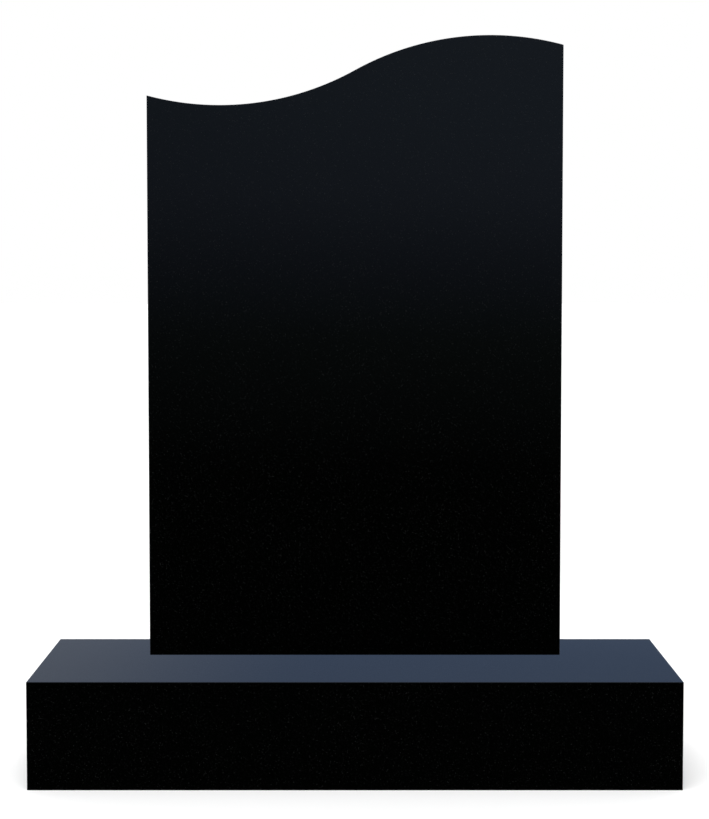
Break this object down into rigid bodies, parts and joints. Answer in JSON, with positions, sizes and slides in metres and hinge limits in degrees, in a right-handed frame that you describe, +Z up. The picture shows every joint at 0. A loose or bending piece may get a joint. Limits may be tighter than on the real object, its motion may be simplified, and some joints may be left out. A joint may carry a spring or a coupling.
{
  "type": "headstone",
  "caption": "Upright headstone of polished black granite: a straight-sided tablet with a serpentine wave top, standing near the back of a wide rectangular base.",
  "frame": {"origin": "middle of the base's underside, on the ground", "axes": "+Z up, +X to the right as a visitor facing the polished front sees it, +Y towards the back; the front faces -Y"},
  "size_m": [0.9, 0.25, 1.0503],
  "materials": {
    "tablet_granite": "polished",
    "base_granite": "polished"
  },
  "bodies": {
    "root": {"tablet": "tablet_granite", "base": "base_granite"}
  },
  "joints": []
}
